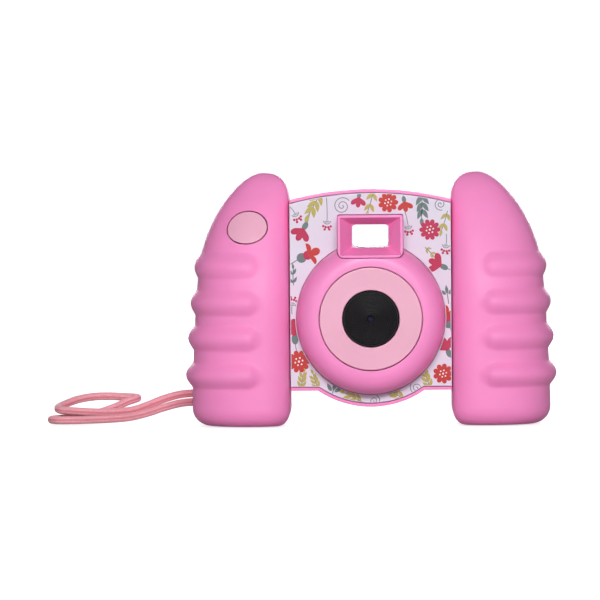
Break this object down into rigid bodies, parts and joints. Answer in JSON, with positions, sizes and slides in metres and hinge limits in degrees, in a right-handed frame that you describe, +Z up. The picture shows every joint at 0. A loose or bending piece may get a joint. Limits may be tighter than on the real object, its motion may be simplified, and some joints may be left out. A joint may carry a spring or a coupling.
{
  "type": "kids digital camera",
  "caption": "Child's digital camera with ribbed grips, round lens dome, see-through viewfinder, rear screen and keys, and a braided wrist strap.",
  "frame": {"origin": "centre of the box of the camera without its strap, at the level of the flat grip bottoms it stands on", "axes": "+X to the user's left, +Y from the lens towards the user, +Z up"},
  "size_m": [0.2046, 0.0719, 0.1005],
  "materials": {
    "pink_shell": "soft-touch satin, moulded",
    "pale_pink": "satin, moulded",
    "printed_plate": null,
    "black_plastic": "satin",
    "clear_plastic": "clear, polished",
    "lens_glass": "coated, polished",
    "circuit_board": "solder-mask green",
    "steel": "zinc-plated",
    "pale_rubber": "matte, moulded",
    "cell_wrap": "satin wrap",
    "braided_cord": "braided polyester"
  },
  "bodies": {
    "camera": {"front_casing": "pink_shell", "rear_casing": "pink_shell", "lens_dome": "pink_shell", "viewfinder_hood": "pink_shell", "right_grip_front": "pink_shell", "right_grip_rear": "pink_shell", "left_grip_front": "pink_shell", "left_grip_rear": "pink_shell", "case_screw_1": "steel", "case_screw_2": "steel", "case_screw_3": "steel", "case_screw_4": "steel", "right_grip_screw": "steel", "left_grip_screw": "steel", "usb_socket": "steel", "card_socket": "steel", "faceplate": "printed_plate", "lens_ring": "pale_pink", "screen_bezel": "pale_pink", "lens_baffle": "black_plastic", "lens_barrel": "black_plastic", "image_sensor": "black_plastic", "viewfinder_tube": "black_plastic", "lcd_panel": "black_plastic", "speaker": "black_plastic", "memory_card": "black_plastic", "right_battery_holder": "black_plastic", "left_battery_holder": "black_plastic", "shutter_switch": "black_plastic", "objective_lens": "lens_glass", "viewfinder_front_window": "clear_plastic", "viewfinder_rear_window": "clear_plastic", "lcd_window": "clear_plastic", "sensor_board": "circuit_board", "main_board": "circuit_board", "io_board": "circuit_board", "shutter_board": "circuit_board", "eyecup": "pale_rubber", "keypad_membrane": "pale_rubber", "strap_ferrule": "pale_rubber", "right_cell_1": "cell_wrap", "right_cell_2": "cell_wrap", "left_cell_1": "cell_wrap", "left_cell_2": "cell_wrap", "strap_tether": "braided_cord", "strap_cord": "braided_cord"},
    "shutter": {"shutter_button": "pale_pink"},
    "power_key": {"power_key": "pale_pink"},
    "mode_key": {"mode_key": "pale_pink"},
    "play_key": {"play_key": "pale_pink"},
    "delete_key": {"delete_key": "pale_pink"},
    "up_key": {"up_key": "pale_pink"},
    "down_key": {"down_key": "pale_pink"},
    "right_door": {"right_battery_door": "pink_shell", "right_door_screw": "steel"},
    "left_door": {"left_battery_door": "pink_shell", "left_door_screw": "steel"},
    "port_flap": {"port_flap": "pale_rubber"}
  },
  "joints": [
    {"name": "shutter_press", "type": "slide", "parent": "camera", "child": "shutter", "axis": [0.1555, 0.8974, -0.413], "range_m": [0, 0.001], "stiffness_N_per_m": 900},
    {"name": "power_press", "type": "slide", "parent": "camera", "child": "power_key", "axis": [0, -1, 0], "range_m": [0, 0.0007], "stiffness_N_per_m": 1200},
    {"name": "mode_press", "type": "slide", "parent": "camera", "child": "mode_key", "axis": [0, -1, 0], "range_m": [0, 0.0007], "stiffness_N_per_m": 1200},
    {"name": "play_press", "type": "slide", "parent": "camera", "child": "play_key", "axis": [0, -1, 0], "range_m": [0, 0.0007], "stiffness_N_per_m": 1200},
    {"name": "delete_press", "type": "slide", "parent": "camera", "child": "delete_key", "axis": [0, -1, 0], "range_m": [0, 0.0007], "stiffness_N_per_m": 1200},
    {"name": "up_press", "type": "slide", "parent": "camera", "child": "up_key", "axis": [0, -1, 0], "range_m": [0, 0.0007], "stiffness_N_per_m": 1200},
    {"name": "down_press", "type": "slide", "parent": "camera", "child": "down_key", "axis": [0, -1, 0], "range_m": [0, 0.0007], "stiffness_N_per_m": 1200},
    {"name": "right_door_lift", "type": "slide", "parent": "camera", "child": "right_door", "axis": [0, 1, 0], "range_m": [0, 0.015]},
    {"name": "left_door_lift", "type": "slide", "parent": "camera", "child": "left_door", "axis": [0, 1, 0], "range_m": [0, 0.015]},
    {"name": "port_flap_hinge", "type": "hinge", "parent": "camera", "child": "port_flap", "pos_m": [0.0214, 0.0193, 0.067], "axis": [-1, 0, 0], "range_deg": [0, 110]}
  ]
}
